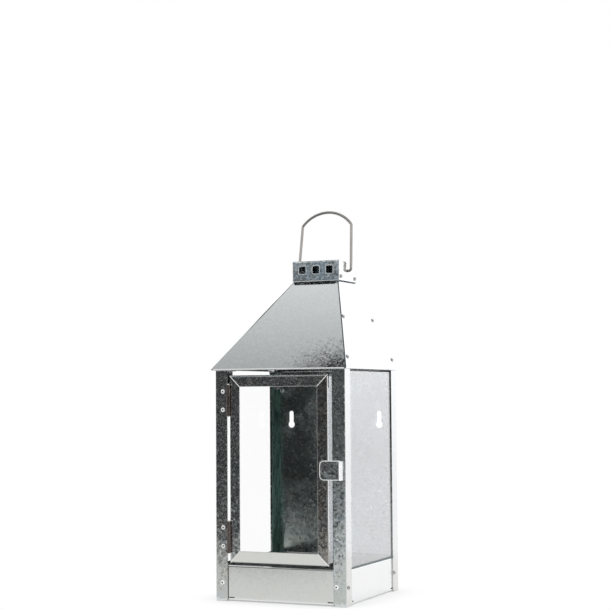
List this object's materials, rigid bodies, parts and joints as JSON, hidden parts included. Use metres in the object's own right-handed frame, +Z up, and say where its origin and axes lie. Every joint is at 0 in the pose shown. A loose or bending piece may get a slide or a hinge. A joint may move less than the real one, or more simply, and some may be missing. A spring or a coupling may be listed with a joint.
{
  "type": "metal candle lantern",
  "caption": "Sheet-steel candle lantern with glass sides, a glazed door on pin hinges, a sloping roof under a vented hood, a swinging wire bail and a flat back for a wall.",
  "frame": {"origin": "centre of the footprint, from the wall face to the latch pull, in the plane of the feet", "axes": "+Z up, +Y towards the wall side, -Y towards the door, +X towards the latch side"},
  "size_m": [0.1564, 0.1634, 0.4256],
  "materials": {
    "galvanised_sheet": "spangled galvanised sheet, satin",
    "bright_sheet": "spangled galvanised sheet, brighter and smoother",
    "dark_plate": "galvanised sheet seen in shade",
    "hinge_steel": "rolled steel, slightly dull",
    "wire_steel": "drawn wire, smooth",
    "clear_glass": "clear float glass"
  },
  "bodies": {
    "lantern_frame": {"post_front_right": "galvanised_sheet", "post_front_left": "galvanised_sheet", "post_rear_right": "galvanised_sheet", "post_rear_left": "galvanised_sheet", "base_pan": "bright_sheet", "back_plate": "dark_plate", "glass_right": "clear_glass", "glass_left": "clear_glass", "glass_bead_front_right": "galvanised_sheet", "glass_bead_front_left": "galvanised_sheet", "glass_bead_rear_right": "galvanised_sheet", "glass_bead_rear_left": "galvanised_sheet", "roof_tie_front_right": "galvanised_sheet", "roof_tie_front_left": "galvanised_sheet", "roof_tie_rear_right": "galvanised_sheet", "roof_tie_rear_left": "galvanised_sheet", "roof_front": "bright_sheet", "roof_side_right": "bright_sheet", "roof_side_left": "bright_sheet", "roof_back": "galvanised_sheet", "chimney_hood": "galvanised_sheet", "hinge_leaf_post_upper": "hinge_steel", "hinge_leaf_post_lower": "hinge_steel", "hinge_pin_upper": "hinge_steel", "hinge_pin_lower": "hinge_steel"},
    "door": {"door_stile_hinge": "galvanised_sheet", "door_stile_latch": "galvanised_sheet", "door_rail_top": "galvanised_sheet", "door_rail_bottom": "bright_sheet", "door_glass": "clear_glass", "latch_tab": "galvanised_sheet", "hinge_leaf_door_upper": "hinge_steel", "hinge_leaf_door_lower": "hinge_steel"},
    "bail": {"bail_handle": "wire_steel"}
  },
  "joints": [
    {"name": "door_hinge", "type": "hinge", "parent": "lantern_frame", "child": "door", "pos_m": [-0.0577, -0.07175, 0.13935], "axis": [0, 0, -1], "range_deg": [0, 180]},
    {"name": "bail_pivot", "type": "hinge", "parent": "lantern_frame", "child": "bail", "pos_m": [0, 0.056, 0.3557], "axis": [1, 0, 0], "range_deg": [-114, 125]}
  ]
}
